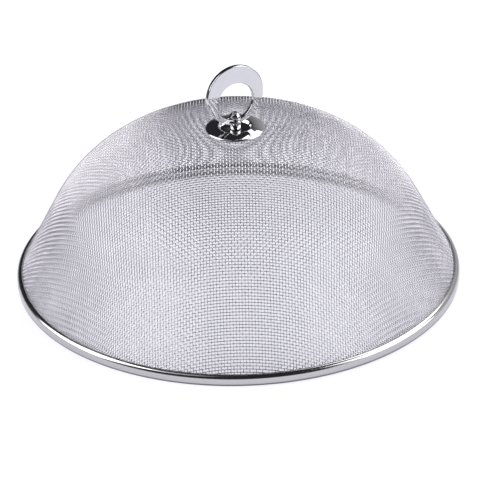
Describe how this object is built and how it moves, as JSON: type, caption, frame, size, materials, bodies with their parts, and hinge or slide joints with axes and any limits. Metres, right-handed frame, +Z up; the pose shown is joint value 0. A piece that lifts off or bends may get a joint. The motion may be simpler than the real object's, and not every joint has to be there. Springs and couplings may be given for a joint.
{
  "type": "mesh food cover",
  "caption": "Domed food cover of woven stainless wire cloth with a rolled rim and a chromed upright ring knob.",
  "frame": {"origin": "centre of the rim's flat underside, on the surface the cover stands on", "axes": "+Z up through the crown and the knob's screw, -Y towards the picture's viewer"},
  "size_m": [0.305, 0.305, 0.1562],
  "materials": {
    "wire_cloth": "bright drawn stainless wire",
    "rim_strip": "polished stainless strip",
    "chrome_plate": "mirror chrome plating",
    "fastener_steel": "bright zinc plating"
  },
  "bodies": {
    "cover": {"mesh_dome": "wire_cloth", "rim_band": "rim_strip", "rim_core_wire": "fastener_steel", "knob_base": "chrome_plate", "backing_washer": "fastener_steel"},
    "knob": {"knob_post": "chrome_plate", "ring_handle": "chrome_plate", "ring_pin": "fastener_steel", "lock_washer": "fastener_steel", "knob_screw": "fastener_steel"}
  },
  "joints": [
    {"name": "knob_swivel", "type": "hinge", "parent": "cover", "child": "knob", "pos_m": [0, 0, 0.109], "axis": [0, 0, 1], "continuous": true}
  ]
}
